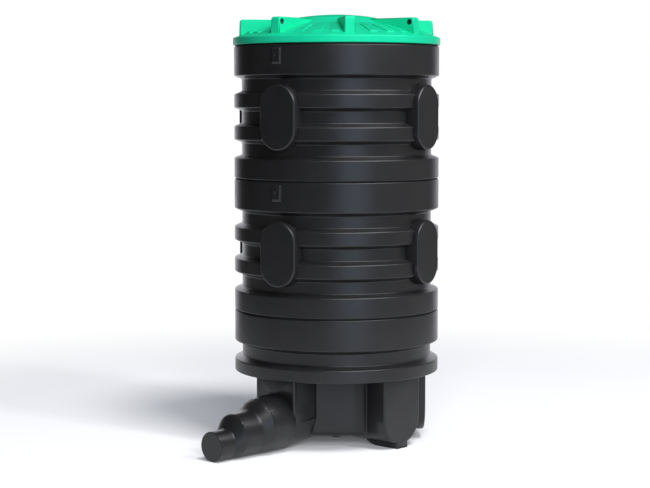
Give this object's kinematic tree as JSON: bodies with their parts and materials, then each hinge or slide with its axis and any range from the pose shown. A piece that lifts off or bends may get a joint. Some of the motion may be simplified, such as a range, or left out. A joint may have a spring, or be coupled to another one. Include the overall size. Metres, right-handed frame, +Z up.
{
  "type": "sewer distribution chamber",
  "caption": "Plastic sewer distribution well: a base with flow channels and a stepped outlet, shaft rings with pipe pads, and a lift-off domed lid with grip fins.",
  "frame": {"origin": "on the shaft's axis at floor level, on the foot under the hub", "axes": "+Z up the shaft; -Y along the outlet"},
  "size_m": [0.8216, 1.0708, 1.621],
  "materials": {
    "black_polyethylene": "rotomoulded, semi-gloss",
    "green_polyethylene": "moulded, semi-gloss",
    "seal_rubber": "smooth"
  },
  "bodies": {
    "well": {"base_collar": "black_polyethylene", "benching_floor": "black_polyethylene", "hub": "black_polyethylene", "outlet_channel": "black_polyethylene", "inlet_channel_090": "black_polyethylene", "inlet_channel_135": "black_polyethylene", "inlet_channel_180": "black_polyethylene", "inlet_channel_225": "black_polyethylene", "inlet_channel_270": "black_polyethylene", "outlet_spigot_200": "black_polyethylene", "outlet_spigot_160": "black_polyethylene", "outlet_spigot_110": "black_polyethylene", "outlet_end": "black_polyethylene", "keel_090": "black_polyethylene", "keel_180": "black_polyethylene", "keel_270": "black_polyethylene", "centre_foot": "black_polyethylene", "lower_ring_shell": "black_polyethylene", "lower_ring_pad_1": "black_polyethylene", "lower_ring_pad_2": "black_polyethylene", "lower_ring_pad_3": "black_polyethylene", "lower_ring_pad_4": "black_polyethylene", "upper_ring_shell": "black_polyethylene", "upper_ring_pad_1": "black_polyethylene", "upper_ring_pad_2": "black_polyethylene", "upper_ring_pad_3": "black_polyethylene", "upper_ring_pad_4": "black_polyethylene", "base_seal": "seal_rubber", "ring_seal": "seal_rubber", "lid_seal": "seal_rubber"},
    "lid": {"lid_cover": "green_polyethylene", "lid_fin_1": "green_polyethylene", "lid_fin_2": "green_polyethylene", "lid_fin_3": "green_polyethylene", "lid_fin_4": "green_polyethylene", "lid_fin_5": "green_polyethylene", "lid_fin_6": "green_polyethylene", "lid_fin_7": "green_polyethylene", "lid_fin_8": "green_polyethylene"}
  },
  "joints": [
    {"name": "lid_lift", "type": "slide", "parent": "well", "child": "lid", "axis": [0, 0, 1], "range_m": [0, 0.3]}
  ]
}
